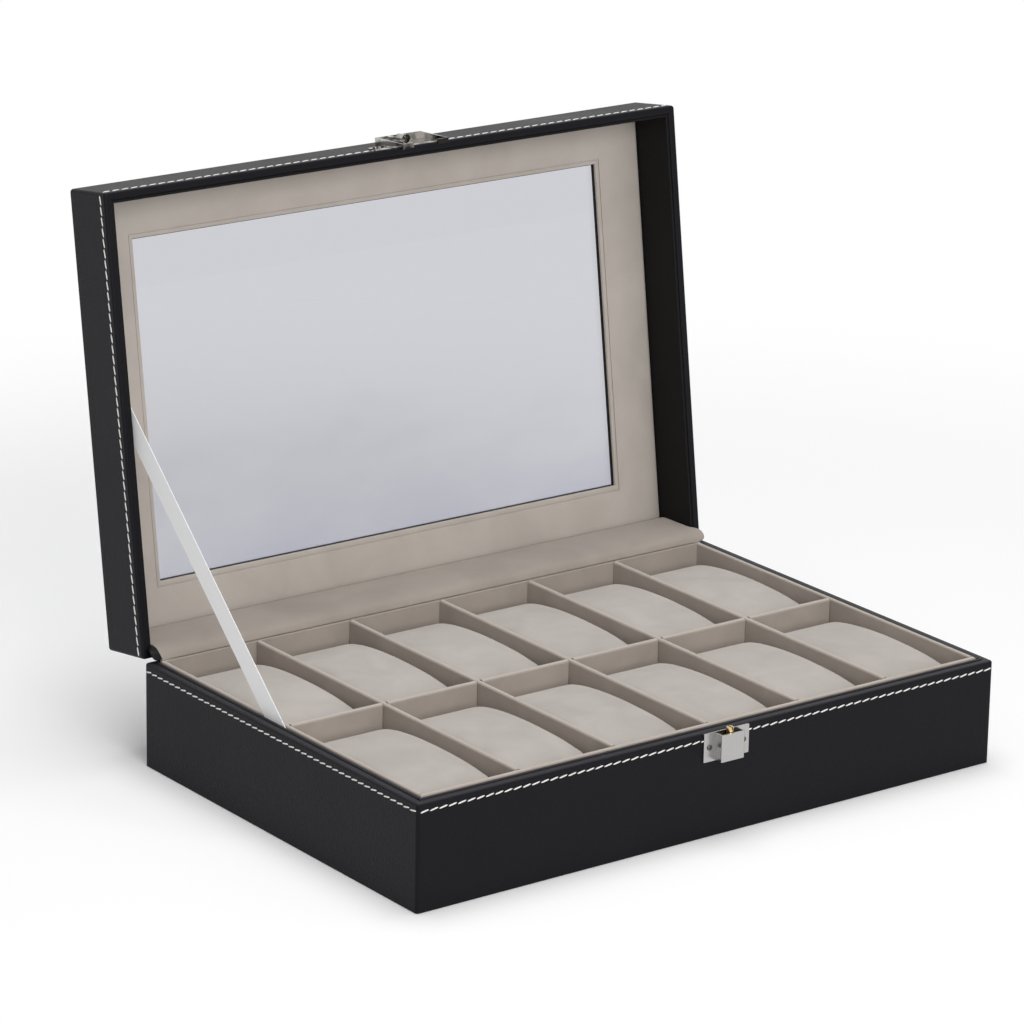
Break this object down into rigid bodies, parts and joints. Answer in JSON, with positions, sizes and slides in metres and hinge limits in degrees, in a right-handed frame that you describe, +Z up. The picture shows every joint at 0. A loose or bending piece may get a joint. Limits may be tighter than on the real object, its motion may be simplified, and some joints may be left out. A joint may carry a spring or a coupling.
{
  "type": "watch box",
  "caption": "Flat display box with velvet cells and loose pillows for wristwatches, a hinged lid with a window, a stay ribbon and a small key lock.",
  "frame": {"origin": "middle of the base's underside, on the surface that it stands on", "axes": "+X to the right seen from the front, along the hinge line; +Y to the back; +Z up. The front with the lock is at -Y. At rest the lid stands open."},
  "size_m": [0.3, 0.2593, 0.2478],
  "materials": {
    "board": "raw fibreboard, glued",
    "leather": "black grained imitation leather with white stitching",
    "lining": "smooth black imitation leather on card",
    "velvet": "short-pile beige velvet on card",
    "pillow": "beige velvet over foam",
    "ribbon": "white woven ribbon",
    "underside": "black flocked cloth",
    "pane": "clear pane",
    "nickel": "nickel-plated pressed steel",
    "brass": "turned brass",
    "steel": "plain steel"
  },
  "bodies": {
    "base": {"base_front_board": "board", "base_back_board": "board", "base_left_board": "board", "base_right_board": "board", "base_floor_board": "board", "base_leather": "leather", "bottom_cloth": "underside", "base_lining_front": "lining", "base_lining_left": "lining", "base_lining_right": "lining", "liner_front": "velvet", "liner_back": "velvet", "liner_left": "velvet", "liner_right": "velvet", "liner_floor": "velvet", "long_divider": "velvet", "cross_divider_1": "velvet", "cross_divider_2": "velvet", "cross_divider_3": "velvet", "cross_divider_4": "velvet", "cross_divider_5": "velvet", "hinge_strip": "velvet", "stay_ribbon": "ribbon", "lock_plate": "nickel", "lock_housing": "nickel", "lock_screws": "nickel", "left_hinge_base_leaf": "steel", "right_hinge_base_leaf": "steel", "hinge_pins": "steel", "hinge_base_screws": "steel"},
    "lid": {"lid_front_board": "board", "lid_back_board": "board", "lid_left_board": "board", "lid_right_board": "board", "lid_top_frame": "board", "lid_leather": "leather", "lid_lining_front": "lining", "lid_lining_left": "lining", "lid_lining_right": "lining", "window_pane": "pane", "lid_liner_frame": "velvet", "hasp_plate": "nickel", "hasp_tube": "nickel", "hasp_screws": "nickel", "left_hinge_lid_leaf": "steel", "right_hinge_lid_leaf": "steel", "hinge_lid_screws": "steel"},
    "pillow_1": {"pillow_1": "pillow"},
    "pillow_2": {"pillow_2": "pillow"},
    "pillow_3": {"pillow_3": "pillow"},
    "pillow_4": {"pillow_4": "pillow"},
    "pillow_5": {"pillow_5": "pillow"},
    "pillow_6": {"pillow_6": "pillow"},
    "pillow_7": {"pillow_7": "pillow"},
    "pillow_8": {"pillow_8": "pillow"},
    "pillow_9": {"pillow_9": "pillow"},
    "pillow_10": {"pillow_10": "pillow"},
    "pillow_11": {"pillow_11": "pillow"},
    "pillow_12": {"pillow_12": "pillow"},
    "barrel": {"key_barrel": "brass"}
  },
  "joints": [
    {"name": "lid_hinge", "type": "hinge", "parent": "base", "child": "lid", "pos_m": [0, 0.0998, 0.046], "axis": [-1, 0, 0], "range_deg": [-98, 0], "deforming": ["hinge_strip", "stay_ribbon"]},
    {"name": "pillow_1_lift", "type": "slide", "parent": "base", "child": "pillow_1", "axis": [0, 0, 1], "range_m": [0, 0.045]},
    {"name": "pillow_2_lift", "type": "slide", "parent": "base", "child": "pillow_2", "axis": [0, 0, 1], "range_m": [0, 0.045]},
    {"name": "pillow_3_lift", "type": "slide", "parent": "base", "child": "pillow_3", "axis": [0, 0, 1], "range_m": [0, 0.045]},
    {"name": "pillow_4_lift", "type": "slide", "parent": "base", "child": "pillow_4", "axis": [0, 0, 1], "range_m": [0, 0.045]},
    {"name": "pillow_5_lift", "type": "slide", "parent": "base", "child": "pillow_5", "axis": [0, 0, 1], "range_m": [0, 0.045]},
    {"name": "pillow_6_lift", "type": "slide", "parent": "base", "child": "pillow_6", "axis": [0, 0, 1], "range_m": [0, 0.045]},
    {"name": "pillow_7_lift", "type": "slide", "parent": "base", "child": "pillow_7", "axis": [0, 0, 1], "range_m": [0, 0.045]},
    {"name": "pillow_8_lift", "type": "slide", "parent": "base", "child": "pillow_8", "axis": [0, 0, 1], "range_m": [0, 0.045]},
    {"name": "pillow_9_lift", "type": "slide", "parent": "base", "child": "pillow_9", "axis": [0, 0, 1], "range_m": [0, 0.045]},
    {"name": "pillow_10_lift", "type": "slide", "parent": "base", "child": "pillow_10", "axis": [0, 0, 1], "range_m": [0, 0.045]},
    {"name": "pillow_11_lift", "type": "slide", "parent": "base", "child": "pillow_11", "axis": [0, 0, 1], "range_m": [0, 0.045]},
    {"name": "pillow_12_lift", "type": "slide", "parent": "base", "child": "pillow_12", "axis": [0, 0, 1], "range_m": [0, 0.045]},
    {"name": "key_turn", "type": "hinge", "parent": "base", "child": "barrel", "pos_m": [0.004, -0.10165, 0.036], "axis": [0, 0, 1], "range_deg": [0, 90]}
  ]
}
